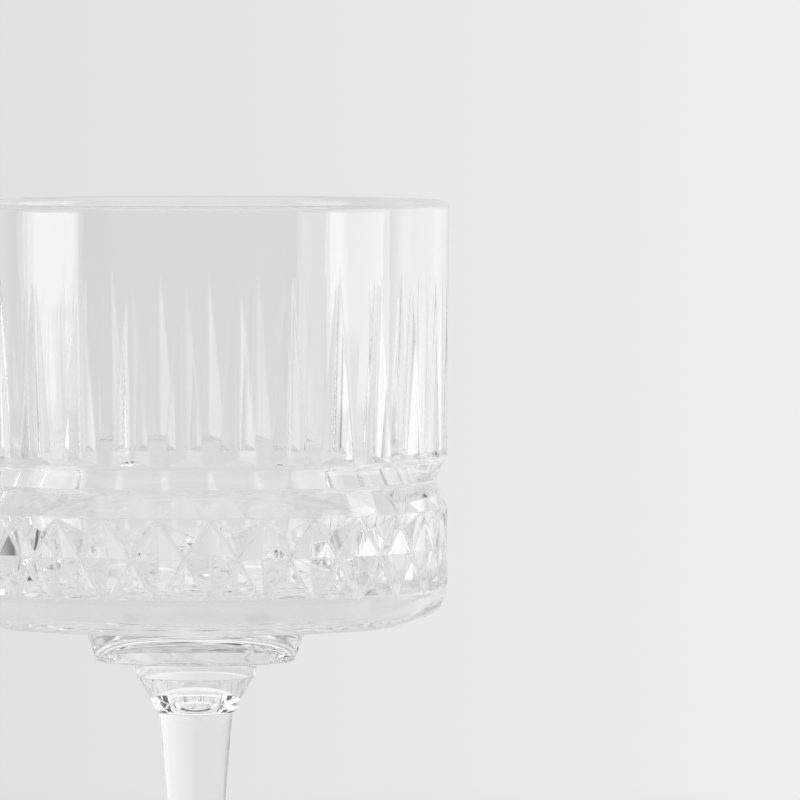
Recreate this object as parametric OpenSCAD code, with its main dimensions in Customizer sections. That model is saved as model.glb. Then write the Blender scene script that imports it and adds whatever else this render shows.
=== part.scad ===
// Stemmed cocktail glass in clear pressed glass.
// A straight bowl with pointed flutes, a groove and a band of cut diamonds stands on a
// collar, a button, a slender stem and a round foot, which are fused face to face.
// Z = 0 is the table and the Z axis is the axis of the glass.

/* [Overall] */
// Height from the table to the rim
total_h = 150; // [135:1:170]

/* [Bowl] */
// Outer diameter at the rim
bowl_d = 80; // [76:0.5:90]
// How far the wall's radius draws in from the rim to the groove
wall_draft = 0.3; // [0:0.05:0.6]
// Thickness of the rounded rim
rim_t = 2.3; // [1.6:0.1:3]
// Thickness of the uncut wall at the bottom of the bowl
wall_t = 3; // [2.8:0.1:4.5]
// Height of the straight wall, from the rim to the shoulder
wall_h = 61.2; // [60.8:0.1:70]
// Radius of the shoulder under the wall
shoulder_r = 4.2; // [2:0.1:6]
// Slope of the underside next to the shoulder, in degrees
under_slope = 20; // [10:1:35]
// Diameter of the shallow middle of the underside
under_d = 66; // [50:0.5:72]
// Fall of the shallow middle, from its edge to the collar
under_fall = 0.9; // [0.3:0.1:2]
// Thickness of the floor on the axis
floor_t = 2.6; // [2.2:0.1:6]
// Radius of the inside corner between wall and floor
floor_r = 8; // [6:0.5:16]
// Fall of the floor, from the inside corner to the axis
floor_dish = 0.7; // [0:0.1:2]

/* [Flutes] */
// Number of flutes round the bowl, and of diamonds below them
pattern_n = 30; // [24:1:36]
// Distance from the rim to the points of the flutes
flute_drop = 12; // [8:0.5:18]
// Length of a flute
flute_h = 28.1; // [20:0.1:28.3]
// Width of the land left between two flutes at their feet
flute_land = 1.6; // [0.8:0.1:3]
// Width of the flat valley along the middle of a flute
flute_valley = 0.8; // [0.4:0.1:1.4]
// Depth of a flute at its foot
flute_depth = 1.1; // [0.6:0.05:1.6]
// Slope of the facet that closes the foot of a flute, in degrees
flute_end_slope = 46; // [30:1:65]

/* [Groove] */
// Distance from the rim to the groove
groove_drop = 40.8; // [40.4:0.1:42]
// Depth of the groove
groove_depth = 1.7; // [0.8:0.1:2]
// Height of the groove's hollow upper slope
groove_upper_h = 2.9; // [2:0.1:4]
// How far the upper slope is hollowed
groove_cove = 0.1; // [0.05:0.05:0.7]
// Height of the groove's floor
groove_floor_h = 0.7; // [0.4:0.1:1.2]
// Height of the groove's lower slope
groove_lower_h = 3.7; // [2:0.1:4]

/* [Diamonds] */
// Height of the plain strip between the groove and the diamonds
diamond_margin = 0.2; // [0.1:0.05:0.4]
// Height of a diamond above the crossings of the ridges
diamond_upper_h = 6.1; // [4.5:0.1:6.4]
// Height of a diamond below the crossings of the ridges
diamond_lower_h = 7.1; // [5:0.1:7.2]
// Height of the half diamonds below the crossings
half_lower_h = 6.1; // [4.5:0.1:6.2]
// Depth of a diamond at its middle
diamond_depth = 1.6; // [0.7:0.05:1.8]
// Width of the ridges between the diamonds
ridge_w = 0.55; // [0.4:0.05:1]
// Height of the facet that closes a half diamond at the top of the band
upper_end_h = 2.1; // [1:0.1:3]
// Height of the facet that closes a half diamond at the bottom of the band
lower_end_h = 1.3; // [0.6:0.1:2]

/* [Collar] */
// Diameter of the collar under the bowl
collar_top_d = 35; // [32:0.5:44]
// Diameter of the collar at its lower edge
collar_low_d = 31.6; // [24:0.2:34]
// Height of the collar
collar_h = 5; // [3:0.1:8]
// Bevel on the collar's lower edge
collar_bevel = 0.35; // [0.1:0.05:0.8]
// Diameter of the button under the collar
button_top_d = 20; // [19:0.2:23]
// Diameter of the button at its lower edge
button_low_d = 18.8; // [18.6:0.2:19]
// Height of the button
button_h = 2.7; // [1:0.1:4]
// Bevel on the button's lower edge
button_bevel = 0.25; // [0.1:0.05:0.6]

/* [Stem] */
// Diameter of the stem's head, under the button
head_d = 18; // [13:0.2:18]
// Height of the stem's flared head, down to its knee
head_h = 5.6; // [4.6:0.1:7]
// Diameter of the head where its rounded lower end begins
bead_d = 14; // [13.2:0.2:15]
// Height of the head's rounded lower end
bead_h = 1.9; // [1.2:0.1:2.4]
// How far the rounded lower end stands out from the stem
bead_out = 0.45; // [0.2:0.05:0.7]
// Height of the lip at the foot of the rounded lower end
bead_lip = 0.2; // [0.1:0.05:0.4]
// Diameter of the stem just below its head
neck_d = 11.7; // [9:0.1:13]
// Diameter of the stem at its waist
waist_d = 7.8; // [6:0.2:9]
// Height of the waist above the table
waist_z = 32; // [20:1:45]

/* [Foot] */
// Diameter of the foot
foot_d = 70; // [60:1:80]
// Thickness of the foot's rounded edge
foot_edge_t = 2.2; // [1.6:0.1:3]
// Height of the foot where the stem stands on it
foot_h = 9; // [6:0.5:14]
// Diameter of the foot where the stem stands on it
foot_top_d = 10.8; // [9:0.2:14]
// Reach of the cove between the stem and the foot
foot_cove = 4; // [1:0.5:10]
// Rise of the foot's upper face towards the cove
foot_crown = 1.6; // [0.5:0.1:3]
// Width of the flat ring that the glass rests on
rest_w = 7; // [3:0.5:14]
// Depth of the hollow under the foot, on the axis
foot_hollow = 0.9; // [0.2:0.1:1.5]

/* [Hidden] */

// Fineness of turned surfaces and of curved outlines
turn_fn = 240;
arc_steps = 12;
curve_steps = 14;

// Reach of a cutter beyond the glass
cut_reach = 4;
// How many times farther than the wall the corners of a pit's cutter lie
pit_reach = 1.8;

glass_tint = [0.86, 0.92, 0.91, 0.45];

// Radii and heights of the bowl
rim_r = bowl_d / 2;
wall_low_r = rim_r - wall_draft;
inside_low_r = wall_low_r - wall_t;
groove_r = wall_low_r - groove_depth;
shoulder_z = total_h - wall_h;
shoulder_end_r = wall_low_r - shoulder_r * (1 - sin(under_slope));
shoulder_end_z = shoulder_z - shoulder_r * cos(under_slope);
under_z = shoulder_end_z - (shoulder_end_r - under_d / 2) * tan(under_slope);
seat_z = under_z - under_fall;
floor_z = seat_z + floor_t + floor_dish;

// Heights of the groove
groove_top_z = total_h - groove_drop;
groove_floor_z = groove_top_z - groove_upper_h;
groove_rise_z = groove_floor_z - groove_floor_h;
groove_low_z = groove_rise_z - groove_lower_h;

// Pattern round the bowl
pattern_angle = 360 / pattern_n;
pitch = 2 * PI * wall_low_r / pattern_n;

// Flutes
flute_tip_z = total_h - flute_drop;
flute_foot_z = flute_tip_z - flute_h;
flute_tip_r = wall_r(flute_tip_z);
flute_foot_r = wall_r(flute_foot_z);
flute_lean = atan((flute_tip_r - flute_foot_r + flute_depth) / flute_h);
flute_spread = (pitch - flute_land - flute_valley) / 2 / flute_depth;

// Diamonds
diamond_top_z = groove_low_z - diamond_margin;
diamond_mid_z = diamond_top_z - diamond_upper_h;
diamond_low_z = diamond_mid_z - diamond_lower_h;
half_low_z = diamond_mid_z - half_lower_h;
diamond_h = diamond_upper_h + diamond_lower_h;
ridge_run = sqrt(pow(pitch, 2) + pow(diamond_h, 2));
ridge_inset_z = ridge_w / 2 * ridge_run / pitch;
side_angle = pattern_angle / 2 * (1 - 2 * ridge_inset_z / diamond_h);
upper_angle = pattern_angle / 2 * (1 - ridge_inset_z / diamond_upper_h);
lower_angle = pattern_angle / 2 * (half_lower_h - ridge_inset_z) / diamond_lower_h;

// Heights of the pieces under the bowl
button_z = seat_z - collar_h;
head_z = button_z - button_h;
neck_z = head_z - head_h;

// Radius of the bowl's wall at a height
function wall_r(z) = rim_r - wall_draft * min(1, (total_h - z) / groove_drop);

// A point at an angle and height, some way in from the lower wall
function on_wall(angle, z, depth = 0) =
    [(wall_low_r - depth) * cos(angle), (wall_low_r - depth) * sin(angle), z];

// Points along a circular arc of an outline
function arc(center, radius, from, to) =
    [for (i = [0:arc_steps])
        let (a = from + (to - from) * i / arc_steps)
        center + radius * [cos(a), sin(a)]];

// Points along a curve that leaves a and reaches c towards the control point b
function curve(a, b, c) =
    [for (i = [0:curve_steps])
        let (t = i / curve_steps)
        pow(1 - t, 2) * a + 2 * t * (1 - t) * b + pow(t, 2) * c];

module turned(outline) {
    rotate_extrude($fn = turn_fn)
        polygon(outline);
}

module round_pattern(offset_steps = 0) {
    for (i = [0:pattern_n - 1])
        rotate([0, 0, (i + offset_steps) * pattern_angle])
            children();
}

// Outline of the bowl before the pattern is cut: underside, wall and groove, rim, inside
function bowl_outline() = concat(
    [[0, seat_z], [collar_top_d / 2, seat_z], [under_d / 2, under_z]],
    arc([wall_low_r - shoulder_r, shoulder_z], shoulder_r, under_slope - 90, 0),
    [[wall_low_r, groove_low_z], [groove_r, groove_rise_z]],
    curve(
        [groove_r, groove_floor_z],
        [groove_r + groove_depth / 2 - groove_cove, groove_floor_z + groove_upper_h / 2],
        [wall_low_r, groove_top_z]
    ),
    arc([rim_r - rim_t / 2, total_h - rim_t / 2], rim_t / 2, 0, 180),
    arc([inside_low_r - floor_r, floor_z + floor_r], floor_r, 0, -90),
    [[0, floor_z - floor_dish]]
);

// A cutter with a narrow flat edge that leans out of the wall at the flute's point
module flute_cutter() {
    run = flute_h / cos(flute_lean) + cut_reach;
    block = 2 * flute_h;
    intersection() {
        translate([flute_tip_r, 0, flute_tip_z])
            rotate([0, flute_lean, 0])
                translate([0, 0, -run])
                    linear_extrude(run + cut_reach)
                        polygon([
                            [0, -flute_valley / 2],
                            [cut_reach, -flute_valley / 2 - cut_reach * flute_spread],
                            [cut_reach, flute_valley / 2 + cut_reach * flute_spread],
                            [0, flute_valley / 2]
                        ]);
        translate([flute_foot_r, 0, flute_foot_z])
            rotate([0, flute_end_slope, 0])
                translate([-block / 2, -block / 2, 0])
                    cube(block);
    }
}

// A pyramid that cuts a pit: its point lies in the glass and its sides pass through the corners
module pit_cutter(point, corners) {
    count = len(corners);
    outer = [for (c = corners) point + pit_reach * (c - point)];
    sides = [for (i = [0:count - 1]) [0, 1 + i, 1 + (i + 1) % count]];
    cap = [for (i = [1:count - 2]) [1, 2 + i, 1 + i]];
    polyhedron(concat([point], outer), concat(sides, cap));
}

// A whole diamond, between two crossings of the ridges
module diamond_cutter() {
    pit_cutter(on_wall(0, diamond_mid_z, diamond_depth), [
        on_wall(-side_angle, diamond_mid_z),
        on_wall(0, diamond_low_z + ridge_inset_z),
        on_wall(side_angle, diamond_mid_z),
        on_wall(0, diamond_top_z - ridge_inset_z)
    ]);
}

// The half diamonds above and below a crossing of the ridges
module half_diamond_cutters() {
    pit_cutter(on_wall(0, diamond_top_z - upper_end_h, diamond_depth), [
        on_wall(0, diamond_mid_z + ridge_inset_z),
        on_wall(upper_angle, diamond_top_z),
        on_wall(-upper_angle, diamond_top_z)
    ]);
    pit_cutter(on_wall(0, half_low_z + lower_end_h, diamond_depth), [
        on_wall(0, diamond_mid_z - ridge_inset_z),
        on_wall(-lower_angle, half_low_z),
        on_wall(lower_angle, half_low_z)
    ]);
}

module bowl() {
    color(glass_tint)
        difference() {
            turned(bowl_outline());
            round_pattern() flute_cutter();
            round_pattern() half_diamond_cutters();
            round_pattern(0.5) diamond_cutter();
        }
}

module collar() {
    color(glass_tint)
        turned([
            [0, seat_z],
            [collar_top_d / 2, seat_z],
            [collar_low_d / 2, button_z + collar_bevel],
            [collar_low_d / 2 - collar_bevel, button_z],
            [0, button_z]
        ]);
}

module button() {
    color(glass_tint)
        turned([
            [0, button_z],
            [button_top_d / 2, button_z],
            [button_low_d / 2, head_z + button_bevel],
            [button_low_d / 2 - button_bevel, head_z],
            [0, head_z]
        ]);
}

module stem() {
    color(glass_tint)
        turned(concat(
            [[0, head_z], [head_d / 2, head_z]],
            curve(
                [bead_d / 2, neck_z + bead_h],
                [neck_d / 2 + bead_out, neck_z + bead_lip],
                [neck_d / 2, neck_z]
            ),
            curve(
                [neck_d / 2, neck_z],
                [waist_d / 2, (neck_z + waist_z) / 2],
                [waist_d / 2, waist_z]
            ),
            curve(
                [waist_d / 2, waist_z],
                [waist_d / 2, (waist_z + foot_h) / 2],
                [foot_top_d / 2, foot_h]
            ),
            [[0, foot_h]]
        ));
}

module foot() {
    edge_r = foot_d / 2 - foot_edge_t / 2;
    color(glass_tint)
        turned(concat(
            [[0, foot_h]],
            curve(
                [foot_top_d / 2, foot_h],
                [foot_top_d / 2 + foot_cove, foot_edge_t + foot_crown],
                [edge_r, foot_edge_t]
            ),
            arc([edge_r, foot_edge_t / 2], foot_edge_t / 2, 90, -90),
            [[edge_r - rest_w, 0], [0, foot_hollow]]
        ));
}

bowl();
collar();
button();
stem();
foot();
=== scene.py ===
import math

import bmesh
import bpy
from mathutils import Matrix, Vector
from mathutils.geometry import delaunay_2d_cdt


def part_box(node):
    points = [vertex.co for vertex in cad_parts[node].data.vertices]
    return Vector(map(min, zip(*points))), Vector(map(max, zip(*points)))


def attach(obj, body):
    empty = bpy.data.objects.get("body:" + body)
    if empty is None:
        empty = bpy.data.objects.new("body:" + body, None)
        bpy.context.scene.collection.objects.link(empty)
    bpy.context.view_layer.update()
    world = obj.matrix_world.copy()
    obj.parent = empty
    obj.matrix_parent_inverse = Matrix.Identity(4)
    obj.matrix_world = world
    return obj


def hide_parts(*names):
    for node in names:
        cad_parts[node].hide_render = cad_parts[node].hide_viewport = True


# A stemmed cocktail glass in clear pressed glass: a straight bowl with pointed flutes, a groove and
# a band of cut diamonds, on a collar, a button, a slender stem and a round foot.
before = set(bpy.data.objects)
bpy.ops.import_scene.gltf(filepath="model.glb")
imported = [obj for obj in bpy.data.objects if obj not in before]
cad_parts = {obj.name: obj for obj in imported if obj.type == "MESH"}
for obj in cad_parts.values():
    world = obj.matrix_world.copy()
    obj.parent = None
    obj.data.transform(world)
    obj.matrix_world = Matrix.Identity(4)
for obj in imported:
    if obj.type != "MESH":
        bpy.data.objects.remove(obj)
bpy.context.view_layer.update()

# Sizes are in millimetres, heights are above the table, and the Z axis is the axis of the glass
MM = 0.001


def node_sizes(node):
    """Radius, lowest height and highest height of a turned node."""
    low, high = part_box(node)
    return round(high.x / MM, 2), round(low.z / MM, 2), round(high.z / MM, 2)


# Places of the pieces, from the frame
RIM_R, SEAT_Z, RIM_Z = node_sizes("bowl")
COLLAR_R, BUTTON_Z, _ = node_sizes("collar")
BUTTON_R, HEAD_Z, _ = node_sizes("button")
HEAD_R, FOOT_TOP_Z, _ = node_sizes("stem")
FOOT_R, TABLE_Z, _ = node_sizes("foot")

# Bowl
WALL_DRAFT = 0.3
RIM_T = 2.3
WALL_T = 3
WALL_H = 61.2
SHOULDER_R = 4.2
UNDER_SLOPE = math.radians(20)
UNDER_R = 33
UNDER_FALL = 0.9
FLOOR_T = 2.6
FLOOR_R = 8
FLOOR_DISH = 0.7
WALL_LOW_R = RIM_R - WALL_DRAFT
INSIDE_LOW_R = WALL_LOW_R - WALL_T
SHOULDER_Z = RIM_Z - WALL_H
FLOOR_Z = SEAT_Z + FLOOR_T + FLOOR_DISH

# Pattern round the bowl
SECTORS = 30
HALF_SECTOR = math.pi / SECTORS
PITCH = 2 * HALF_SECTOR * WALL_LOW_R
FACET_SOFTNESS = 0.1
FLUTE_SOFTNESS = 0.06

# Flutes
FLUTE_DROP = 12
FLUTE_H = 28.1
FLUTE_LAND = 1.6
FLUTE_VALLEY = 0.8
FLUTE_DEPTH = 1.1
FLUTE_END_RISE = math.tan(math.radians(46))
FLUTE_TIP_Z = RIM_Z - FLUTE_DROP
FLUTE_FOOT_Z = FLUTE_TIP_Z - FLUTE_H
FLUTE_VALLEY_A = FLUTE_VALLEY / 2 / WALL_LOW_R

# Groove
GROOVE_DROP = 40.8
GROOVE_DEPTH = 1.7
GROOVE_UPPER_H = 2.9
GROOVE_COVE = 0.1
GROOVE_FLOOR_H = 0.7
GROOVE_LOWER_H = 3.7
GROOVE_R = WALL_LOW_R - GROOVE_DEPTH
GROOVE_TOP_Z = RIM_Z - GROOVE_DROP
GROOVE_FLOOR_Z = GROOVE_TOP_Z - GROOVE_UPPER_H
GROOVE_RISE_Z = GROOVE_FLOOR_Z - GROOVE_FLOOR_H
GROOVE_LOW_Z = GROOVE_RISE_Z - GROOVE_LOWER_H

# Diamonds
DIAMOND_MARGIN = 0.2
DIAMOND_UPPER_H = 6.1
DIAMOND_LOWER_H = 7.1
HALF_LOWER_H = 6.1
DIAMOND_DEPTH = 1.6
RIDGE_W = 0.55
UPPER_END_H = 2.1
LOWER_END_H = 1.3
DIAMOND_TOP_Z = GROOVE_LOW_Z - DIAMOND_MARGIN
DIAMOND_MID_Z = DIAMOND_TOP_Z - DIAMOND_UPPER_H
DIAMOND_LOW_Z = DIAMOND_MID_Z - DIAMOND_LOWER_H
HALF_LOW_Z = DIAMOND_MID_Z - HALF_LOWER_H
DIAMOND_H = DIAMOND_UPPER_H + DIAMOND_LOWER_H
RIDGE_INSET_Z = RIDGE_W / 2 * math.hypot(PITCH, DIAMOND_H) / PITCH
DIAMOND_TIP_Z = DIAMOND_TOP_Z - RIDGE_INSET_Z
DIAMOND_TAIL_Z = DIAMOND_LOW_Z + RIDGE_INSET_Z
UPPER_TAIL_Z = DIAMOND_MID_Z + RIDGE_INSET_Z
LOWER_TIP_Z = DIAMOND_MID_Z - RIDGE_INSET_Z
SIDE_A = HALF_SECTOR * (1 - 2 * RIDGE_INSET_Z / DIAMOND_H)
UPPER_A = HALF_SECTOR * (1 - RIDGE_INSET_Z / DIAMOND_UPPER_H)
LOWER_A = HALF_SECTOR * (HALF_LOWER_H - RIDGE_INSET_Z) / DIAMOND_LOWER_H

# Collar, button, stem and foot
COLLAR_LOW_R = 15.8
COLLAR_ROUND = 0.35
BUTTON_LOW_R = 9.4
BUTTON_ROUND = 0.25
HEAD_H = 5.6
BEAD_R = 7
BEAD_H = 1.9
BEAD_OUT = 0.45
BEAD_LIP = 0.2
NECK_R = 5.85
WAIST_R = 3.9
WAIST_Z = 32
FOOT_TOP_R = 5.4
FOOT_EDGE_T = 2.2
FOOT_COVE = 4
FOOT_CROWN = 1.6
REST_W = 7
FOOT_HOLLOW = 0.9

# Fineness of turned surfaces, and the angle past which their edges are sharp
SECTOR_COLUMNS = 4
TURN_COLUMNS = SECTORS * SECTOR_COLUMNS * 2
ARC_STEPS = 12
CURVE_STEPS = 24
SHARP_ANGLE = math.radians(30)

# Fineness of the relief: its rows, the strip that follows a crease, and what counts as touching
RELIEF_ROW_H = 2.5
CREASE_W = 0.22
BORDER_SNAP = 0.04
NORMAL_STEP = 0.01
MERGE_GAP = 0.002
EMPTY_EDGE = 0.0005

# The photograph's frame: pixels, size of a pixel on the axis, and the glass's place in the frame
FRAME_PX = 800
PX_MM = 0.15748
AXIS_PX = 195.5
RIM_PX = 200.2
CAMERA_D = 1500
CAMERA_RISE = 32.7
CAMERA_TURN = math.radians(-3.4)
SENSOR_MM = 36

# Table: its reach from the glass, the part of it that doesn't fade, its gap under the foot, and its
# brightness through the glass
TABLE_REACH = 700
TABLE_FULL = 0.45
TABLE_SIDES = 96
TABLE_GAP = 0.1
TABLE_LEVEL = 0.73

# Light: the height that the softboxes aim at, and how often light may pass a face of the glass
LIGHT_AIM_Z = 120
LIGHT_BOUNCES = 96

# Brightness of the backdrop in the frame, from left to right, by the sine of the angle from its middle
BACKDROP = ((-1, 0.7), (-0.0205, 0.752), (0.0635, 0.863), (1, 0.9))

# Brightness of the studio to the glass, by the direction's part to the right, to the back and upwards
STUDIO_ACROSS = (
    (-1, 0.72),
    (-0.68, 0.77),
    (0, 0.77),
    (0.21, 0.84),
    (0.37, 0.87),
    (0.68, 0.97),
    (0.83, 1.1),
    (0.95, 1.9),
    (1, 2),
)
STUDIO_DEPTH = (
    (-1, 0.45),
    (-0.8, 0.42),
    (-0.55, 0.1),
    (-0.1, 0.08),
    (0.1, 0.2),
    (0.22, 0.38),
    (0.42, 0.75),
    (0.6, 1),
    (1, 1),
)
STUDIO_UP = ((-1, 1), (0.64, 1), (0.72, 0.04), (1, 0.04))


# Curves of outlines

def arc(center, radius, start, end, steps=ARC_STEPS):
    """Points along a circular arc, with angles in degrees."""
    points = []
    for i in range(steps + 1):
        a = math.radians(start + (end - start) * i / steps)
        points.append((center[0] + radius * math.cos(a), center[1] + radius * math.sin(a)))
    return points


def curve(a, b, c, steps=CURVE_STEPS):
    """Points along a curve that leaves a and reaches c towards the control point b."""
    points = []
    for i in range(steps + 1):
        t = i / steps
        shares = (1 - t) ** 2, 2 * t * (1 - t), t * t
        points.append(tuple(shares[0] * p + shares[1] * q + shares[2] * r for p, q, r in zip(a, b, c)))
    return points


def line(a, b, steps):
    """Evenly spaced points from a to b, of any dimension."""
    return [tuple(p + (q - p) * i / steps for p, q in zip(a, b)) for i in range(steps + 1)]


# Relief of the bowl's outside: its radius at an angle from the middle of a flute, and at a height

def soft_min(a, b, softness=FACET_SOFTNESS):
    """The smaller of two radii, with the edge between them rounded."""
    blend = max(softness - abs(a - b), 0) / softness
    return min(a, b) - blend * blend * softness / 4


def soft_max(a, b, softness=FACET_SOFTNESS):
    """The larger of two radii, with the crease between them rounded."""
    return -soft_min(-a, -b, softness)


def wall_radius(z):
    """Radius of the plain wall, which draws in from the rim to the groove."""
    return RIM_R - WALL_DRAFT * min(1, (RIM_Z - z) / GROOVE_DROP)


FLUTE_TIP_R = wall_radius(FLUTE_TIP_Z)
FLUTE_FOOT_R = wall_radius(FLUTE_FOOT_Z)
FLUTE_LEAN = (FLUTE_TIP_R - FLUTE_FOOT_R + FLUTE_DEPTH) / FLUTE_H
FLUTE_SPREAD = (PITCH - FLUTE_LAND - FLUTE_VALLEY) / 2 / FLUTE_DEPTH * math.cos(math.atan(FLUTE_LEAN))
FLUTE_START = FLUTE_VALLEY / 2 / FLUTE_SPREAD


def flute_valley(z):
    """Distance from the axis to the valley of a flute."""
    return FLUTE_TIP_R - (FLUTE_TIP_Z - z) * FLUTE_LEAN


def flute_end(z):
    """Distance from the axis to the facet that closes the foot of a flute."""
    return FLUTE_FOOT_R - (z - FLUTE_FOOT_Z) / FLUTE_END_RISE


def flute_radius(angle, z):
    """Radius of a flute's valley, sides and foot, beyond the wall too."""
    valley = flute_valley(z) / math.cos(angle)
    side = (flute_valley(z) - FLUTE_START) / (math.cos(angle) - abs(math.sin(angle)) / FLUTE_SPREAD)
    trough = soft_max(valley, side, FLUTE_SOFTNESS)
    return soft_max(trough, flute_end(z) / math.cos(angle), FLUTE_SOFTNESS)


def groove_radius(z, run_on=1.2):
    """Radius of the groove's slopes and floor, with the upper slope run on past the wall."""
    lower = WALL_LOW_R - (z - GROOVE_LOW_Z) * GROOVE_DEPTH / GROOVE_LOWER_H
    rise = min(max((z - GROOVE_FLOOR_Z) / GROOVE_UPPER_H, 0), run_on)
    upper = GROOVE_R + (GROOVE_DEPTH - 2 * GROOVE_COVE) * rise + 2 * GROOVE_COVE * rise * rise
    return soft_max(upper, lower)


def on_wall(angle, z, depth=0):
    """A point at an angle and height, some way in from the lower wall."""
    r = WALL_LOW_R - depth
    return Vector((r * math.cos(angle), r * math.sin(angle), z))


def plane_through(a, b, c):
    """A facet's plane through three points, as its normal and its distance from the origin."""
    normal = (b - a).cross(c - a).normalized()
    return normal, normal.dot(a)


def plane_radius(plane, angle, z):
    """Radius at which a facet's plane passes an angle and height."""
    normal, offset = plane
    return (offset - normal.z * z) / (normal.x * math.cos(angle) + normal.y * math.sin(angle))


def plane_height(plane, angle):
    """Height at which a facet's plane meets the lower wall."""
    normal, offset = plane
    across = normal.x * math.cos(angle) + normal.y * math.sin(angle)
    return (offset - WALL_LOW_R * across) / normal.z


# The pits of the diamond band: their deepest points, their corners and the planes of their facets
DIAMOND_PIT = on_wall(HALF_SECTOR, DIAMOND_MID_Z, DIAMOND_DEPTH)
DIAMOND_SIDE = on_wall(HALF_SECTOR - SIDE_A, DIAMOND_MID_Z)
DIAMOND_UPPER = plane_through(DIAMOND_PIT, DIAMOND_SIDE, on_wall(HALF_SECTOR, DIAMOND_TIP_Z))
DIAMOND_LOWER = plane_through(DIAMOND_PIT, DIAMOND_SIDE, on_wall(HALF_SECTOR, DIAMOND_TAIL_Z))
UPPER_PIT = on_wall(0, DIAMOND_TOP_Z - UPPER_END_H, DIAMOND_DEPTH)
UPPER_CORNER = on_wall(UPPER_A, DIAMOND_TOP_Z)
UPPER_SIDE = plane_through(UPPER_PIT, on_wall(0, UPPER_TAIL_Z), UPPER_CORNER)
UPPER_END = plane_through(UPPER_PIT, UPPER_CORNER, on_wall(-UPPER_A, DIAMOND_TOP_Z))
LOWER_PIT = on_wall(0, HALF_LOW_Z + LOWER_END_H, DIAMOND_DEPTH)
LOWER_CORNER = on_wall(LOWER_A, HALF_LOW_Z)
LOWER_SIDE = plane_through(LOWER_PIT, on_wall(0, LOWER_TIP_Z), LOWER_CORNER)
LOWER_END = plane_through(LOWER_PIT, LOWER_CORNER, on_wall(-LOWER_A, HALF_LOW_Z))


def pit_radius(first, second, angle, z, middle):
    """Radius of a pit of four facets that is even on both sides of its middle angle."""
    mirrored = 2 * middle - angle
    near = soft_max(plane_radius(first, angle, z), plane_radius(second, angle, z))
    far = soft_max(plane_radius(first, mirrored, z), plane_radius(second, mirrored, z))
    return soft_max(near, far)


def relief_radius(angle, z):
    """Radius of the bowl's outside, for angles from the middle of a flute to the middle of a land."""
    radius = soft_min(wall_radius(z), groove_radius(z))
    if z > GROOVE_TOP_Z:
        return soft_min(radius, flute_radius(angle, z), FLUTE_SOFTNESS)
    if z < GROOVE_LOW_Z:
        radius = soft_min(radius, pit_radius(DIAMOND_UPPER, DIAMOND_LOWER, angle, z, HALF_SECTOR))
        radius = soft_min(radius, pit_radius(UPPER_SIDE, UPPER_END, angle, z, 0))
        radius = soft_min(radius, pit_radius(LOWER_SIDE, LOWER_END, angle, z, 0))
    return radius


def relief_point(angle, z):
    """The point of the relief at an angle and height."""
    r = relief_radius(angle, z)
    return Vector((r * math.cos(angle), r * math.sin(angle), z))


def relief_normal(angle, z, step=NORMAL_STEP):
    """Outward normal of the relief as its parts outwards, round and up."""
    turn = step / WALL_LOW_R
    along = relief_point(angle + turn, z) - relief_point(angle - turn, z)
    up = relief_point(angle, z + step) - relief_point(angle, z - step)
    normal = along.cross(up).normalized()
    return Matrix.Rotation(-angle, 3, "Z") @ normal


# Creases of the relief on half a sector, as lines of angle and height

def bisect(test, low, high, rounds=40):
    """The value between low and high at which a rising test passes zero."""
    for _ in range(rounds):
        middle = (low + high) / 2
        if test(middle) < 0:
            low = middle
        else:
            high = middle
    return (low + high) / 2


def flute_edge(z):
    """Angle at which a flute's side facet meets the wall."""
    reach = (flute_valley(z) - FLUTE_START) / wall_radius(z) / math.hypot(1, 1 / FLUTE_SPREAD)
    return max(0, math.acos(min(1, reach)) - math.atan(1 / FLUTE_SPREAD))


def on_facet(start, end, steps):
    """Angles and heights along a straight edge between two points in space."""
    return [(math.atan2(y, x), z) for x, y, z in line(start, end, steps)]


def flute_corner_gap(z):
    """How far a flute's foot lies under the wall at the edge of its side facet."""
    return wall_radius(z) - flute_end(z) / math.cos(flute_edge(z))


def flute_creases(corner_below=1, corner_above=3):
    """Edges and creases of half a flute. Its lower corner is looked for about the flute's foot."""
    valley_foot_z = bisect(lambda z: flute_valley(z) - flute_end(z), FLUTE_FOOT_Z, FLUTE_TIP_Z)
    valley_tip_z = bisect(lambda z: flute_valley(z) - wall_radius(z), FLUTE_FOOT_Z, RIM_Z)
    corner_z = bisect(flute_corner_gap, FLUTE_FOOT_Z - corner_below, FLUTE_FOOT_Z + corner_above)
    corner_a = flute_edge(corner_z)
    corner_r = wall_radius(corner_z)
    corner = Vector((corner_r * math.cos(corner_a), corner_r * math.sin(corner_a), corner_z))
    valley_foot = Vector((flute_valley(valley_foot_z), FLUTE_VALLEY / 2, valley_foot_z))
    valley_tip = Vector((flute_valley(valley_tip_z), FLUTE_VALLEY / 2, valley_tip_z))
    flute_side = [(flute_edge(z), z) for (z,) in line((corner_z,), (valley_tip_z,), 24)]
    flute_foot = []
    for (angle,) in line((0,), (corner_a,), 6):
        z = FLUTE_FOOT_Z + FLUTE_END_RISE * (FLUTE_FOOT_R - FLUTE_FOOT_R * math.cos(angle))
        flute_foot.append((angle, z))
    return [
        flute_side,
        flute_foot,
        on_facet(valley_foot, corner, 5),
        on_facet(valley_foot, valley_tip, 20),
        line((0, valley_foot_z), (FLUTE_VALLEY_A, valley_foot_z), 3),
        line((0, valley_tip_z), (FLUTE_VALLEY_A, valley_tip_z), 3),
        line((0, valley_foot_z), (0, valley_tip_z), 20),
    ]


def groove_creases():
    heights = (GROOVE_TOP_Z, GROOVE_FLOOR_Z, GROOVE_RISE_Z, GROOVE_LOW_Z)
    return [line((0, z), (HALF_SECTOR, z), 6) for z in heights]


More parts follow.
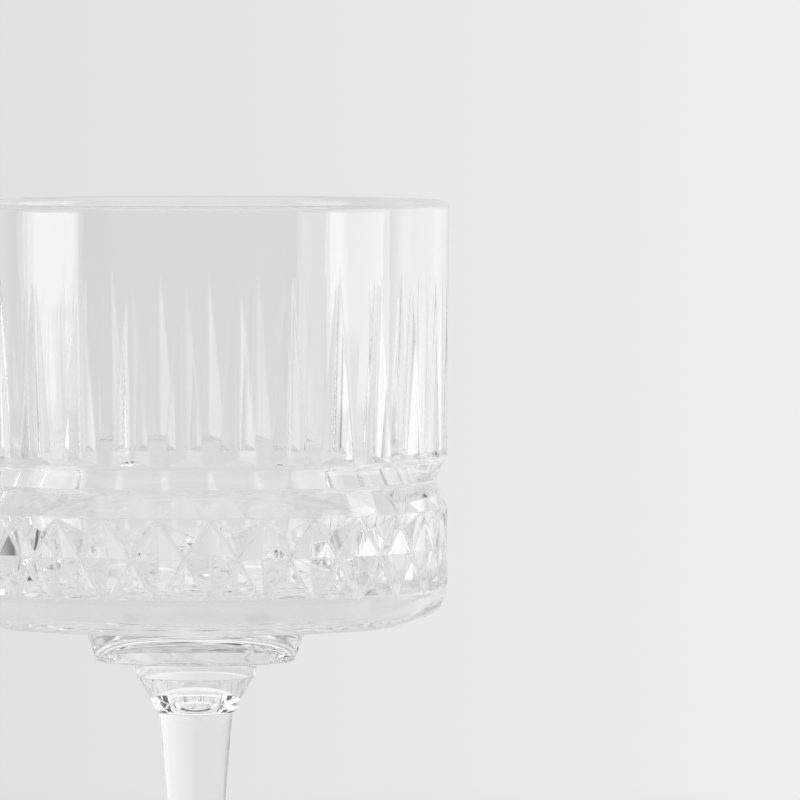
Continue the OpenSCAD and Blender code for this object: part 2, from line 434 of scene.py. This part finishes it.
def diamond_creases():
    """Edges and creases of half a whole diamond and of the half diamonds above and below a crossing."""
    diamond_angles = [a for (a,) in line((HALF_SECTOR - SIDE_A,), (HALF_SECTOR,), 8)]
    creases = [
        [(a, plane_height(DIAMOND_UPPER, a)) for a in diamond_angles],
        [(a, plane_height(DIAMOND_LOWER, a)) for a in diamond_angles],
        on_facet(DIAMOND_SIDE, DIAMOND_PIT, 5),
        line((HALF_SECTOR, DIAMOND_TAIL_Z), (HALF_SECTOR, DIAMOND_TIP_Z), 12),
    ]
    for side, end, pit, pit_corner, end_a, edge_z in (
        (UPPER_SIDE, UPPER_END, UPPER_PIT, UPPER_CORNER, UPPER_A, UPPER_TAIL_Z),
        (LOWER_SIDE, LOWER_END, LOWER_PIT, LOWER_CORNER, LOWER_A, LOWER_TIP_Z),
    ):
        angles = [a for (a,) in line((0,), (end_a,), 8)]
        creases += [
            [(a, plane_height(side, a)) for a in angles],
            [(a, plane_height(end, a)) for a in angles],
            on_facet(pit, pit_corner, 5),
            line((0, edge_z), (0, plane_height(end, 0)), 8),
        ]
    return creases


def beside(points, distance):
    """A line of points moved sideways by a distance on the unrolled wall."""
    moved = []
    for i, (u, z) in enumerate(points):
        before, after = points[max(i - 1, 0)], points[min(i + 1, len(points) - 1)]
        run, rise = after[0] - before[0], after[1] - before[1]
        length = math.hypot(run, rise)
        moved.append((u - rise / length * distance, z + run / length * distance))
    return moved


def snapped(u, width):
    """Moves a point that all but touches the border of half a sector onto it."""
    for border in (0, width):
        if abs(u - border) < BORDER_SNAP:
            return border
    return u


def relief_triangles():
    """Half a sector of the relief as angles, heights and triangles that follow every crease."""
    top_z = RIM_Z - RIM_T / 2
    columns = [HALF_SECTOR * WALL_LOW_R * i / SECTOR_COLUMNS for i in range(SECTOR_COLUMNS + 1)]
    points = [Vector((u, SHOULDER_Z)) for u in columns]
    points += [Vector((u, top_z)) for u in reversed(columns)]
    outline = [list(range(len(points)))]
    edges = []
    lowest_z = SHOULDER_Z + BORDER_SNAP
    for crease in flute_creases() + groove_creases() + diamond_creases():
        unrolled = [(a * WALL_LOW_R, z) for a, z in crease]
        for offset in (-CREASE_W, -CREASE_W / 2, 0, CREASE_W / 2, CREASE_W):
            moved = [(snapped(u, columns[-1]), max(z, lowest_z)) for u, z in beside(unrolled, offset)]
            edges += [(len(points) + i, len(points) + i + 1) for i in range(len(moved) - 1)]
            points += [Vector(p) for p in moved]
    rows = round((top_z - SHOULDER_Z) / RELIEF_ROW_H)
    for u in columns:
        for i in range(1, rows):
            points.append(Vector((u, SHOULDER_Z + (top_z - SHOULDER_Z) * i / rows)))
    verts, _, faces, _, _, origins = delaunay_2d_cdt(points, edges, outline, 0, MERGE_GAP)
    kept = [face for face, origin in zip(faces, origins) if 0 in origin]
    used = sorted({i for face in kept for i in face})
    place = {old: new for new, old in enumerate(used)}
    spots = [(verts[i].x / WALL_LOW_R, verts[i].y) for i in used]
    return spots, [[place[i] for i in face] for face in kept]


# Meshes

def even(a, b, steps, near=0.02):
    """Points between a and b, one of them close to each end, so that a curve's shading ends there."""
    places = [near / steps] + [i / steps for i in range(1, steps)] + [1 - near / steps]
    return [tuple(p + (q - p) * t for p, q in zip(a, b)) for t in places]


def bowl_rows():
    """Outlines of the bowl beyond its relief: rim and inside, underside, and the seat on the collar."""
    rim = arc((RIM_R - RIM_T / 2, RIM_Z - RIM_T / 2), RIM_T / 2, 0, 180, 16)
    rim[0] = (wall_radius(rim[0][1]), rim[0][1])
    corner = arc((INSIDE_LOW_R - FLOOR_R, FLOOR_Z + FLOOR_R), FLOOR_R, 0, -90, 24)
    inside = even(rim[-1], corner[0], 20) + corner
    inside += even(corner[-1], (0, FLOOR_Z - FLOOR_DISH), 12) + [(0, FLOOR_Z - FLOOR_DISH)]
    shoulder_center = (WALL_LOW_R - SHOULDER_R, SHOULDER_Z)
    under = arc(shoulder_center, SHOULDER_R, 0, math.degrees(UNDER_SLOPE) - 90, 14)
    under += line((UNDER_R, SEAT_Z + UNDER_FALL), (COLLAR_R, SEAT_Z), 8)
    seat = line((COLLAR_R, SEAT_Z), (0, SEAT_Z), 8)
    return rim + inside, under, seat


def bowl_sector():
    """One sector of the bowl, from land to land, with a number for each point of the relief."""
    spots, triangles = relief_triangles()
    points = [relief_point(a, z) for a, z in spots]
    numbers = list(range(1, len(points) + 1))
    number_at = {(round(a / HALF_SECTOR, 4), round(z, 3)): i for (a, z), i in zip(spots, numbers)}
    faces = [(triangle, False) for triangle in triangles]
    upper, under, seat = bowl_rows()
    for rows, fused in ((upper, False), (under, False), (seat, True)):
        start = len(points)
        width = SECTOR_COLUMNS + 1
        for r, z in rows:
            for i in range(width):
                a = HALF_SECTOR * i / SECTOR_COLUMNS
                spot = (round(i / SECTOR_COLUMNS, 4), round(z, 3))
                number = number_at.get(spot, 0) if r > GROOVE_R else 0
                plain = Vector((r * math.cos(a), r * math.sin(a), z))
                points.append(relief_point(a, z) if number else plain)
                numbers.append(number)
        for row in range(len(rows) - 1):
            for i in range(SECTOR_COLUMNS):
                low = start + row * width + i
                faces.append(([low, low + 1, low + width + 1, low + width], fused))
    count = len(points)
    points += [Vector((p.x, -p.y, p.z)) for p in points]
    numbers += numbers
    faces += [([count + i for i in reversed(face)], fused) for face, fused in faces]
    normals = [None] + [relief_normal(a, z) for a, z in spots]
    return points, [f for f, _ in faces], numbers, [fused for _, fused in faces], normals


def new_object(name, mesh):
    piece = bpy.data.objects.new(name, mesh)
    bpy.context.scene.collection.objects.link(piece)
    return piece


def closed(mesh):
    """Merges a mesh's doubles, drops its empty faces, turns it outwards and shades it smooth."""
    bm = bmesh.new()
    bm.from_mesh(mesh)
    bmesh.ops.remove_doubles(bm, verts=bm.verts, dist=MERGE_GAP * MM)
    bmesh.ops.dissolve_degenerate(bm, edges=bm.edges, dist=EMPTY_EDGE * MM)
    bmesh.ops.recalc_face_normals(bm, faces=bm.faces)
    bm.to_mesh(mesh)
    bm.free()
    mesh.shade_smooth()


def ring_tree():
    """Geometry nodes that repeat a sector round the axis and set the glass and the fused faces."""
    tree = bpy.data.node_groups.new("pattern_ring", "GeometryNodeTree")
    sockets = {}
    for name, kind in (
        ("Sector", "NodeSocketGeometry"),
        ("Sectors", "NodeSocketInt"),
        ("Merge Distance", "NodeSocketFloat"),
        ("Glass", "NodeSocketMaterial"),
        ("Fused", "NodeSocketMaterial"),
    ):
        sockets[name] = tree.interface.new_socket(name, in_out="INPUT", socket_type=kind).identifier
    tree.interface.new_socket("Ring", in_out="OUTPUT", socket_type="NodeSocketGeometry")

    def node(kind, **settings):
        made = tree.nodes.new(kind)
        for key, value in settings.items():
            setattr(made, key, value)
        return made

    given = node("NodeGroupInput")
    result = node("NodeGroupOutput")
    points = node("GeometryNodePoints")
    index = node("GeometryNodeInputIndex")
    step = node("ShaderNodeMath", operation="DIVIDE")
    step.inputs[0].default_value = 2 * math.pi
    angle = node("ShaderNodeMath", operation="MULTIPLY")
    rotation = node("ShaderNodeCombineXYZ")
    instance = node("GeometryNodeInstanceOnPoints")
    realize = node("GeometryNodeRealizeInstances")
    merge = node("GeometryNodeMergeByDistance")
    glass = node("GeometryNodeSetMaterial")
    fused = node("GeometryNodeSetMaterial")
    fused_faces = node("GeometryNodeInputNamedAttribute", data_type="BOOLEAN")
    fused_faces.inputs["Name"].default_value = "fused"
    for source, target in (
        (given.outputs["Sectors"], points.inputs["Count"]),
        (given.outputs["Sectors"], step.inputs[1]),
        (index.outputs["Index"], angle.inputs[0]),
        (step.outputs["Value"], angle.inputs[1]),
        (angle.outputs["Value"], rotation.inputs["Z"]),
        (points.outputs["Points"], instance.inputs["Points"]),
        (given.outputs["Sector"], instance.inputs["Instance"]),
        (rotation.outputs["Vector"], instance.inputs["Rotation"]),
        (instance.outputs["Instances"], realize.inputs["Geometry"]),
        (realize.outputs["Geometry"], merge.inputs["Geometry"]),
        (given.outputs["Merge Distance"], merge.inputs["Distance"]),
        (merge.outputs["Geometry"], glass.inputs["Geometry"]),
        (given.outputs["Glass"], glass.inputs["Material"]),
        (glass.outputs["Geometry"], fused.inputs["Geometry"]),
        (fused_faces.outputs["Attribute"], fused.inputs["Selection"]),
        (given.outputs["Fused"], fused.inputs["Material"]),
        (fused.outputs["Geometry"], result.inputs["Ring"]),
    ):
        tree.links.new(source, target)
    return tree, sockets


def set_relief_normals(mesh, normals):
    """Shades the relief by its own normals, so that facets stay flat and plain walls smooth."""
    numbers = [0] * len(mesh.vertices)
    mesh.attributes["relief_number"].data.foreach_get("value", numbers)
    shading = []
    for vertex, number in zip(mesh.vertices, numbers):
        if number == 0:
            shading.append((0, 0, 0))
            continue
        angle = math.atan2(vertex.co.y, vertex.co.x)
        from_flute = (angle + HALF_SECTOR) % (2 * HALF_SECTOR) - HALF_SECTOR
        normal = normals[number].copy()
        if from_flute < 0:
            normal.y = -normal.y
        shading.append(Matrix.Rotation(angle, 3, "Z") @ normal)
    mesh.attributes.remove(mesh.attributes["relief_number"])
    mesh.normals_split_custom_set_from_vertices(shading)


def make_bowl(glass, fused):
    points, faces, numbers, fused_faces, normals = bowl_sector()
    mesh = bpy.data.meshes.new("bowl_sector")
    mesh.from_pydata([p * MM for p in points], [], faces)
    mesh.attributes.new("relief_number", "INT", "POINT").data.foreach_set("value", numbers)
    mesh.attributes.new("fused", "BOOLEAN", "FACE").data.foreach_set("value", fused_faces)
    piece = new_object("pressed_bowl", mesh)
    tree, sockets = ring_tree()
    ring = piece.modifiers.new("pattern_ring", "NODES")
    ring.node_group = tree
    ring[sockets["Sectors"]] = SECTORS
    ring[sockets["Merge Distance"]] = MERGE_GAP * MM
    ring[sockets["Glass"]] = glass
    ring[sockets["Fused"]] = fused
    whole = piece.evaluated_get(bpy.context.evaluated_depsgraph_get())
    mesh = bpy.data.meshes.new_from_object(whole)
    piece.modifiers.remove(ring)
    piece.data = mesh
    mesh.name = "pressed_bowl"
    closed(mesh)
    set_relief_normals(mesh, normals)
    return piece


def turned(name, strips, materials):
    """A turned piece from strips of its outline, from the top down, each with its material's number."""
    verts, faces, kinds = [], [], []
    for outline, kind in strips:
        for upper, lower in zip(outline, outline[1:]):
            for i in range(TURN_COLUMNS):
                start = len(verts)
                for (r, z), column in ((upper, i), (upper, i + 1), (lower, i + 1), (lower, i)):
                    a = 2 * math.pi * (column % TURN_COLUMNS) / TURN_COLUMNS
                    verts.append((r * math.cos(a) * MM, r * math.sin(a) * MM, z * MM))
                faces.append((start, start + 1, start + 2, start + 3))
                kinds.append(kind)
    mesh = bpy.data.meshes.new(name)
    mesh.from_pydata(verts, [], faces)
    for material in materials:
        mesh.materials.append(material)
    mesh.polygons.foreach_set("material_index", kinds)
    closed(mesh)
    mesh.set_sharp_from_angle(angle=SHARP_ANGLE)
    return new_object(name, mesh)


GLASS, FUSED = 0, 1


def collar_strips():
    low_r = COLLAR_LOW_R - COLLAR_ROUND
    edge = arc((low_r, BUTTON_Z + COLLAR_ROUND), COLLAR_ROUND, 0, -90, 6)
    return [
        (line((0, SEAT_Z), (COLLAR_R, SEAT_Z), 8), FUSED),
        (line((COLLAR_R, SEAT_Z), edge[0], 6) + edge[1:], GLASS),
        (line((low_r, BUTTON_Z), (BUTTON_R, BUTTON_Z), 4), GLASS),
        (line((BUTTON_R, BUTTON_Z), (0, BUTTON_Z), 6), FUSED),
    ]


def button_strips():
    low_r = BUTTON_LOW_R - BUTTON_ROUND
    edge = arc((low_r, HEAD_Z + BUTTON_ROUND), BUTTON_ROUND, 0, -90, 6)
    return [
        (line((0, BUTTON_Z), (BUTTON_R, BUTTON_Z), 6), FUSED),
        ([(BUTTON_R, BUTTON_Z)] + edge + [(HEAD_R, HEAD_Z)], GLASS),
        (line((HEAD_R, HEAD_Z), (0, HEAD_Z), 6), FUSED),
    ]


def stem_strips():
    neck_z = HEAD_Z - HEAD_H
    bead, neck, waist = (BEAD_R, neck_z + BEAD_H), (NECK_R, neck_z), (WAIST_R, WAIST_Z)
    side = line((HEAD_R, HEAD_Z), bead, 6)[:-1]
    side += curve(bead, (NECK_R + BEAD_OUT, neck_z + BEAD_LIP), neck)
    side += curve(neck, (WAIST_R, (neck_z + WAIST_Z) / 2), waist)[1:]
    side += curve(waist, (WAIST_R, (WAIST_Z + FOOT_TOP_Z) / 2), (FOOT_TOP_R, FOOT_TOP_Z))[1:]
    return [
        (line((0, HEAD_Z), (HEAD_R, HEAD_Z), 6), FUSED),
        (side, GLASS),
        (line((FOOT_TOP_R, FOOT_TOP_Z), (0, FOOT_TOP_Z), 4), FUSED),
    ]


def foot_strips():
    edge_r = FOOT_R - FOOT_EDGE_T / 2
    cove = (FOOT_TOP_R + FOOT_COVE, FOOT_EDGE_T + FOOT_CROWN)
    upper = curve((FOOT_TOP_R, FOOT_TOP_Z), cove, (edge_r, FOOT_EDGE_T), 40)
    edge = arc((edge_r, FOOT_EDGE_T / 2), FOOT_EDGE_T / 2, 90, -90, 16)
    under = line((edge_r - REST_W, TABLE_Z), (0, FOOT_HOLLOW), 10)
    return [
        (line((0, FOOT_TOP_Z), (FOOT_TOP_R, FOOT_TOP_Z), 4), FUSED),
        (upper + edge[1:] + under, GLASS),
    ]


# Materials

def new_material(name):
    """A material with its node tree and its main shader."""
    material = bpy.data.materials.new(name)
    material.use_nodes = True
    return material, material.node_tree, material.node_tree.nodes["Principled BSDF"]


def add_node(tree, kind, **values):
    """A shader node with some of its inputs set, by their names."""
    made = tree.nodes.new(kind)
    for name, value in values.items():
        made.inputs[name.replace("_", " ")].default_value = value
    return made


def clear_glass():
    """Clear pressed glass, with the faint waviness that the mould and the fire polish leave."""
    material, tree, shader = new_material("clear_glass")
    shader.inputs["Base Color"].default_value = (0.99, 0.991, 0.99, 1)
    shader.inputs["Transmission Weight"].default_value = 1
    shader.inputs["IOR"].default_value = 1.52
    coords = tree.nodes.new("ShaderNodeTexCoord")
    waves = add_node(tree, "ShaderNodeTexNoise", Scale=70, Detail=1, Roughness=0.4)
    wavy = add_node(tree, "ShaderNodeBump", Strength=0.6, Distance=0.0001)
    tree.links.new(coords.outputs["Object"], waves.inputs["Vector"])
    tree.links.new(waves.outputs["Fac"], wavy.inputs["Height"])
    tree.links.new(wavy.outputs["Normal"], shader.inputs["Normal"])
    patches = add_node(tree, "ShaderNodeTexNoise", Scale=140, Detail=3)
    polish = add_node(tree, "ShaderNodeMapRange", From_Min=0.35, From_Max=0.65)
    polish.inputs["To Min"].default_value = 0.01
    polish.inputs["To Max"].default_value = 0.04
    tree.links.new(coords.outputs["Object"], patches.inputs["Vector"])
    tree.links.new(patches.outputs["Fac"], polish.inputs["Value"])
    tree.links.new(polish.outputs["Result"], shader.inputs["Roughness"])
    return material


def fused_joint():
    """The place where two pieces were fused while hot: the glass runs on, so nothing shows."""
    material, _, shader = new_material("fused_joint")
    shader.inputs["Alpha"].default_value = 0
    return material


def pale_table():
    """A plain pale table top that fades out at its edge and looks even through the glass."""
    material, tree, shader = new_material("pale_table")
    shader.inputs["Roughness"].default_value = 0.6
    coords = tree.nodes.new("ShaderNodeTexCoord")
    grain = add_node(tree, "ShaderNodeTexNoise", Scale=300, Detail=4)
    tone = tree.nodes.new("ShaderNodeValToRGB")
    for element, level in zip(tone.color_ramp.elements, (0.94, 0.96)):
        element.color = (level, level, level, 1)
    tree.links.new(coords.outputs["Object"], grain.inputs["Vector"])
    tree.links.new(grain.outputs["Fac"], tone.inputs["Fac"])
    tree.links.new(tone.outputs["Color"], shader.inputs["Base Color"])
    through = add_node(tree, "ShaderNodeEmission", Color=(TABLE_LEVEL, TABLE_LEVEL, TABLE_LEVEL, 1))
    path = tree.nodes.new("ShaderNodeLightPath")
    seen = tree.nodes.new("ShaderNodeMixShader")
    tree.links.new(path.outputs["Is Transmission Ray"], seen.inputs["Fac"])
    tree.links.new(shader.outputs["BSDF"], seen.inputs[1])
    tree.links.new(through.outputs["Emission"], seen.inputs[2])
    away = tree.nodes.new("ShaderNodeVectorMath")
    away.operation = "LENGTH"
    edge = TABLE_REACH * MM
    fade = add_node(tree, "ShaderNodeMapRange", From_Min=TABLE_FULL * edge, From_Max=edge)
    fade.interpolation_type = "SMOOTHSTEP"
    clear = tree.nodes.new("ShaderNodeBsdfTransparent")
    faded = tree.nodes.new("ShaderNodeMixShader")
    tree.links.new(coords.outputs["Object"], away.inputs[0])
    tree.links.new(away.outputs["Value"], fade.inputs["Value"])
    tree.links.new(fade.outputs["Result"], faded.inputs["Fac"])
    tree.links.new(seen.outputs["Shader"], faded.inputs[1])
    tree.links.new(clear.outputs["BSDF"], faded.inputs[2])
    tree.links.new(faded.outputs["Shader"], tree.nodes["Material Output"].inputs["Surface"])
    return material


# Scene

def photo_height(pixel):
    """Height on the axis plane of a row of the photograph."""
    return RIM_Z - (pixel - RIM_PX) * PX_MM


def make_camera():
    data = bpy.data.cameras.new("camera")
    data.sensor_width = SENSOR_MM
    data.lens = SENSOR_MM * CAMERA_D / (FRAME_PX * PX_MM)
    camera = bpy.data.objects.new("camera", data)
    turn = Matrix.Rotation(CAMERA_TURN, 3, "Z")
    place = turn @ Vector((0, -CAMERA_D, RIM_Z + CAMERA_RISE))
    target = turn @ Vector(((FRAME_PX / 2 - AXIS_PX) * PX_MM, 0, photo_height(FRAME_PX / 2)))
    camera.location = place * MM
    camera.rotation_euler = (target - place).to_track_quat("-Z", "Y").to_euler()
    bpy.context.scene.collection.objects.link(camera)
    bpy.context.scene.camera = camera


def studio_surround():
    """A pale backdrop that brightens to the right, a dim room on the camera's side, a dark ceiling."""
    world = bpy.data.worlds.new("studio")
    bpy.context.scene.world = world
    world.use_nodes = True
    tree = world.node_tree
    surround = tree.nodes["Background"]
    coords = tree.nodes.new("ShaderNodeTexCoord")

    def ramp_along(direction, stops):
        along = tree.nodes.new("ShaderNodeVectorMath")
        along.operation = "DOT_PRODUCT"
        along.inputs[1].default_value = Matrix.Rotation(CAMERA_TURN, 3, "Z") @ Vector(direction)
        shift = tree.nodes.new("ShaderNodeMapRange")
        shift.inputs["From Min"].default_value = -1
        ramp = tree.nodes.new("ShaderNodeValToRGB")
        elements = ramp.color_ramp.elements
        while len(elements) < len(stops):
            elements.new(0.5)
        for element, (place, level) in zip(elements, stops):
            element.position = (place + 1) / 2
            element.color = (level, level, level, 1)
        tree.links.new(coords.outputs["Generated"], along.inputs[0])
        tree.links.new(along.outputs["Value"], shift.inputs["Value"])
        tree.links.new(shift.outputs["Result"], ramp.inputs["Fac"])
        return ramp.outputs["Color"]

    def times(a, b):
        product = tree.nodes.new("ShaderNodeMix")
        product.data_type = "RGBA"
        product.blend_type = "MULTIPLY"
        product.inputs["Factor"].default_value = 1
        tree.links.new(a, product.inputs["A"])
        tree.links.new(b, product.inputs["B"])
        return product.outputs["Result"]

    backdrop = ramp_along((1, 0, 0), BACKDROP)
    across = ramp_along((1, 0, 0), STUDIO_ACROSS)
    depth = ramp_along((0, 1, 0), STUDIO_DEPTH)
    up = ramp_along((0, 0, 1), STUDIO_UP)
    studio = times(times(across, depth), up)
    seen = tree.nodes.new("ShaderNodeMix")
    seen.data_type = "RGBA"
    path = tree.nodes.new("ShaderNodeLightPath")
    tree.links.new(path.outputs["Is Camera Ray"], seen.inputs["Factor"])
    tree.links.new(studio, seen.inputs["A"])
    tree.links.new(backdrop, seen.inputs["B"])
    tree.links.new(seen.outputs["Result"], surround.inputs["Color"])


def softbox(name, angle, distance, height, size, radiance):
    """A soft light at an angle round the glass from the camera's side, aimed at the bowl."""
    data = bpy.data.lights.new(name, "AREA")
    data.shape = "RECTANGLE"
    data.size, data.size_y = (s * MM for s in size)
    data.energy = radiance * math.pi * data.size * data.size_y
    light = bpy.data.objects.new(name, data)
    around = math.radians(angle) + CAMERA_TURN
    place = Vector((distance * math.sin(around), -distance * math.cos(around), height))
    light.location = place * MM
    light.rotation_euler = (Vector((0, 0, LIGHT_AIM_Z)) - place).to_track_quat("-Z", "Y").to_euler()
    light.visible_camera = False
    bpy.context.scene.collection.objects.link(light)


def make_table(material):
    bpy.ops.mesh.primitive_circle_add(vertices=TABLE_SIDES, radius=TABLE_REACH * MM, fill_type="TRIFAN")
    table = bpy.context.object
    table.name = "table"
    table.data.materials.append(material)
    table.location.z = -TABLE_GAP * MM


glass = clear_glass()
fused = fused_joint()
pieces = {
    "bowl": make_bowl(glass, fused),
    "collar": turned("collar_disc", collar_strips(), (glass, fused)),
    "button": turned("button_disc", button_strips(), (glass, fused)),
    "stem": turned("drawn_stem", stem_strips(), (glass, fused)),
    "foot": turned("round_foot", foot_strips(), (glass, fused)),
}
for node, piece in pieces.items():
    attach(piece, "root")
    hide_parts(node)

make_table(pale_table())
studio_surround()
softbox("left_softbox", angle=-67, distance=1300, height=460, size=(690, 900), radiance=1.3)
softbox("right_softbox", angle=80, distance=1300, height=460, size=(880, 900), radiance=2)
softbox("overhead_softbox", angle=0, distance=450, height=1500, size=(2400, 1900), radiance=1.05)
make_camera()
bpy.context.scene.view_settings.view_transform = "Standard"
bpy.context.scene.cycles.max_bounces = LIGHT_BOUNCES
bpy.context.scene.cycles.transmission_bounces = LIGHT_BOUNCES
bpy.context.scene.cycles.glossy_bounces = LIGHT_BOUNCES
bpy.context.scene.cycles.transparent_max_bounces = LIGHT_BOUNCES
